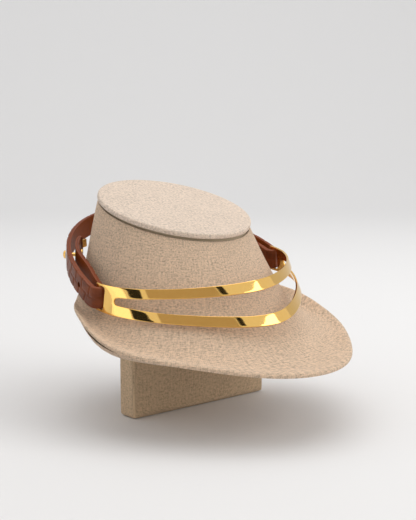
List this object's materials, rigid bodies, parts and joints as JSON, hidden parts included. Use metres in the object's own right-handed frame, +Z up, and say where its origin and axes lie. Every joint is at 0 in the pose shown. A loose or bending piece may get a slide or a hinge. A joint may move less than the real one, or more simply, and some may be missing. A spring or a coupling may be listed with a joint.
{
  "type": "jewellery display bust with choker",
  "caption": "Linen-covered neck bust on a slab foot, wearing a split-bar metal choker whose two leather straps loop through its end slots and meet in a clasp at the nape.",
  "frame": {"origin": "on the ground, in the middle of the foot's base, on the felt pad", "axes": "the bust faces -Y; +X is on the right of someone who looks along +Y; +Z is up; the whole is symmetric about X = 0"},
  "size_m": [0.1596, 0.1777, 0.1247],
  "materials": {
    "linen": "natural plain-weave linen",
    "cap_linen": "natural plain-weave linen, paler",
    "foot_linen": "darker tan linen",
    "felt": "dark felt",
    "core_wood": "bare light wood form",
    "board": "bare fibreboard",
    "birch": "bare birch",
    "gold": "polished gold plate",
    "croc_leather": "croc-embossed reddish brown",
    "lining_leather": "smooth chestnut"
  },
  "bodies": {
    "bust": {"foot_cover": "foot_linen", "foot_core": "board", "foot_pad": "felt", "core_block": "birch", "foot_dowel_left": "birch", "foot_dowel_right": "birch", "body_cover": "linen", "neck_core": "core_wood", "underside_lining": "linen", "cap_cover": "cap_linen", "cap_board": "board"},
    "choker": {"choker_plate": "gold"},
    "left_strap": {"left_strap_lining": "lining_leather", "left_strap_face": "croc_leather", "left_stud_head": "gold", "left_stud_foot": "gold", "left_strap_tip": "gold", "left_clasp": "gold"},
    "right_strap": {"right_strap_lining": "lining_leather", "right_strap_face": "croc_leather", "right_stud_head": "gold", "right_stud_foot": "gold", "right_strap_tip": "gold", "right_clasp": "gold"}
  },
  "joints": [
    {"name": "choker_lift", "type": "slide", "parent": "bust", "child": "choker", "axis": [0, 0, 1], "range_m": [0, 0.11]},
    {"name": "left_strap_swing", "type": "hinge", "parent": "choker", "child": "left_strap", "pos_m": [-0.0628, 0.00289, 0.06776], "axis": [-0.0295, -0.113, 0.9931], "range_deg": [0, 35]},
    {"name": "right_strap_swing", "type": "hinge", "parent": "choker", "child": "right_strap", "pos_m": [0.06278, 0.00289, 0.07809], "axis": [0.1331, 0.1131, -0.9846], "range_deg": [0, 35]}
  ]
}
